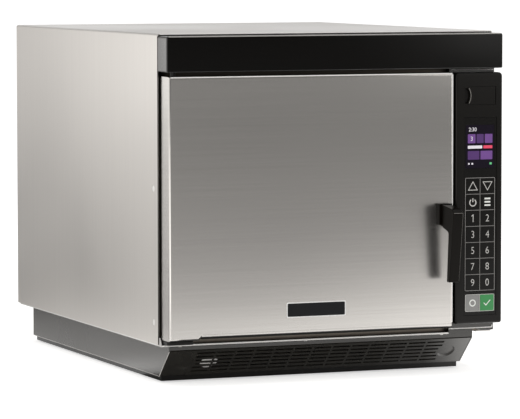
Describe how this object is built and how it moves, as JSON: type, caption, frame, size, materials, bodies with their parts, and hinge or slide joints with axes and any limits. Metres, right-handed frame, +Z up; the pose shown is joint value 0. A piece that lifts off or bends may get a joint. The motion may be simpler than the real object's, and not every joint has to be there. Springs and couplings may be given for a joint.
{
  "type": "countertop speed oven",
  "caption": "Countertop microwave and hot-air oven: side-hinged steel door with a fixed grip, keypad column, black top trim, and a dark base with a slotted air filter.",
  "frame": {"origin": "on the floor, under the middle of the bounding box of the whole oven with its handle", "axes": "+Z up, -Y out of the door face towards the cook, +X to the right of someone facing the door"},
  "size_m": [0.489, 0.6787, 0.4658],
  "materials": {
    "wrap_steel": "fine brushed stainless sheet",
    "door_steel": "brushed stainless sheet, grain across",
    "inner_steel": "plain stainless sheet and wire",
    "galvanised": "dull zinc-coated sheet",
    "dark_paint": "dark satin paint",
    "black_plastic": "satin black moulding",
    "overlay_film": "dark printed film",
    "key_film": "dark printed film over a button",
    "key_grey": "grey printed film over a button",
    "key_green": "green printed film over a button",
    "screen": "dark display window",
    "foot_rubber": "black rubber",
    "seal_silicone": "grey silicone",
    "floor_ceramic": "pale glazed ceramic",
    "winding": "varnished copper winding and steel core",
    "board": "green circuit board"
  },
  "bodies": {
    "cabinet": {"base_pan": "dark_paint", "floor_plate": "inner_steel", "outer_wrap": "wrap_steel", "front_frame": "inner_steel", "rear_panel": "galvanised", "cord_gland": "black_plastic", "top_trim": "black_plastic", "upper_hinge": "inner_steel", "lower_hinge": "dark_paint", "interlock_housing": "black_plastic", "foot_front_left": "foot_rubber", "foot_front_right": "foot_rubber", "foot_rear_left": "foot_rubber", "foot_rear_right": "foot_rubber", "cavity_liner": "inner_steel", "ceramic_floor": "floor_ceramic", "fan_baffle": "inner_steel", "heater_coil": "inner_steel", "convection_motor": "galvanised", "waveguide": "galvanised", "stirrer_motor": "galvanised", "magnetron_front": "galvanised", "magnetron_rear": "galvanised", "transformer_front": "winding", "transformer_rear": "winding", "capacitor": "galvanised", "cooling_blower": "galvanised", "panel_bracket": "dark_paint", "panel_housing": "black_plastic", "keypad_overlay": "overlay_film", "display": "screen", "control_board": "board"},
    "door": {"door_skin": "door_steel", "door_choke": "inner_steel", "door_inner_panel": "inner_steel", "door_seal": "seal_silicone", "door_handle": "black_plastic"},
    "latch": {"door_latch": "black_plastic"},
    "rack": {"oven_rack": "inner_steel"},
    "fan": {"convection_fan": "galvanised"},
    "stirrer": {"stirrer": "inner_steel"},
    "blower_wheel": {"blower_wheel": "inner_steel"},
    "hatch": {"port_hatch": "black_plastic"},
    "filter": {"air_filter": "dark_paint"},
    "button_9": {"key_9": "key_film"},
    "button_0": {"key_0": "key_film"},
    "button_7": {"key_7": "key_film"},
    "button_8": {"key_8": "key_film"},
    "button_5": {"key_5": "key_film"},
    "button_6": {"key_6": "key_film"},
    "button_3": {"key_3": "key_film"},
    "button_4": {"key_4": "key_film"},
    "button_1": {"key_1": "key_film"},
    "button_2": {"key_2": "key_film"},
    "button_power": {"key_power": "key_film"},
    "button_menu": {"key_menu": "key_film"},
    "button_up": {"key_up": "key_film"},
    "button_down": {"key_down": "key_film"},
    "button_stop": {"key_stop": "key_grey"},
    "button_start": {"key_start": "key_green"}
  },
  "joints": [
    {"name": "door_hinge", "type": "hinge", "parent": "cabinet", "child": "door", "pos_m": [-0.23, -0.2795, 0.2348], "axis": [0, 0, -1], "range_deg": [0, 115]},
    {"name": "door_latch_slide", "type": "slide", "parent": "door", "child": "latch", "axis": [0, 0, 1], "range_m": [0, 0.004], "stiffness_N_per_m": 400, "springref_m": -0.003},
    {"name": "rack_slide", "type": "slide", "parent": "cabinet", "child": "rack", "axis": [0, -1, 0], "range_m": [0, 0.015]},
    {"name": "convection_fan_spin", "type": "hinge", "parent": "cabinet", "child": "fan", "pos_m": [-0.0355, 0.1585, 0.2353], "axis": [0, 1, 0], "continuous": true},
    {"name": "stirrer_spin", "type": "hinge", "parent": "cabinet", "child": "stirrer", "pos_m": [-0.0355, -0.0667, 0.0738], "axis": [0, 0, 1], "continuous": true},
    {"name": "blower_spin", "type": "hinge", "parent": "cabinet", "child": "blower_wheel", "pos_m": [-0.1725, 0.25164, 0.12237], "axis": [1, 0, 0], "continuous": true},
    {"name": "port_hatch_hinge", "type": "hinge", "parent": "cabinet", "child": "hatch", "pos_m": [0.23269, -0.2922, 0.3783], "axis": [0, 0, 1], "range_deg": [0, 95]},
    {"name": "air_filter_slide", "type": "slide", "parent": "cabinet", "child": "filter", "axis": [0, -1, 0], "range_m": [0, 0.1]},
    {"name": "press_9", "type": "slide", "parent": "cabinet", "child": "button_9", "axis": [0, 1, 0], "range_m": [0, 0.0005], "stiffness_N_per_m": 4000},
    {"name": "press_0", "type": "slide", "parent": "cabinet", "child": "button_0", "axis": [0, 1, 0], "range_m": [0, 0.0005], "stiffness_N_per_m": 4000},
    {"name": "press_7", "type": "slide", "parent": "cabinet", "child": "button_7", "axis": [0, 1, 0], "range_m": [0, 0.0005], "stiffness_N_per_m": 4000},
    {"name": "press_8", "type": "slide", "parent": "cabinet", "child": "button_8", "axis": [0, 1, 0], "range_m": [0, 0.0005], "stiffness_N_per_m": 4000},
    {"name": "press_5", "type": "slide", "parent": "cabinet", "child": "button_5", "axis": [0, 1, 0], "range_m": [0, 0.0005], "stiffness_N_per_m": 4000},
    {"name": "press_6", "type": "slide", "parent": "cabinet", "child": "button_6", "axis": [0, 1, 0], "range_m": [0, 0.0005], "stiffness_N_per_m": 4000},
    {"name": "press_3", "type": "slide", "parent": "cabinet", "child": "button_3", "axis": [0, 1, 0], "range_m": [0, 0.0005], "stiffness_N_per_m": 4000},
    {"name": "press_4", "type": "slide", "parent": "cabinet", "child": "button_4", "axis": [0, 1, 0], "range_m": [0, 0.0005], "stiffness_N_per_m": 4000},
    {"name": "press_1", "type": "slide", "parent": "cabinet", "child": "button_1", "axis": [0, 1, 0], "range_m": [0, 0.0005], "stiffness_N_per_m": 4000},
    {"name": "press_2", "type": "slide", "parent": "cabinet", "child": "button_2", "axis": [0, 1, 0], "range_m": [0, 0.0005], "stiffness_N_per_m": 4000},
    {"name": "press_power", "type": "slide", "parent": "cabinet", "child": "button_power", "axis": [0, 1, 0], "range_m": [0, 0.0005], "stiffness_N_per_m": 4000},
    {"name": "press_menu", "type": "slide", "parent": "cabinet", "child": "button_menu", "axis": [0, 1, 0], "range_m": [0, 0.0005], "stiffness_N_per_m": 4000},
    {"name": "press_up", "type": "slide", "parent": "cabinet", "child": "button_up", "axis": [0, 1, 0], "range_m": [0, 0.0005], "stiffness_N_per_m": 4000},
    {"name": "press_down", "type": "slide", "parent": "cabinet", "child": "button_down", "axis": [0, 1, 0], "range_m": [0, 0.0005], "stiffness_N_per_m": 4000},
    {"name": "press_stop", "type": "slide", "parent": "cabinet", "child": "button_stop", "axis": [0, 1, 0], "range_m": [0, 0.0005], "stiffness_N_per_m": 4000},
    {"name": "press_start", "type": "slide", "parent": "cabinet", "child": "button_start", "axis": [0, 1, 0], "range_m": [0, 0.0005], "stiffness_N_per_m": 4000}
  ]
}
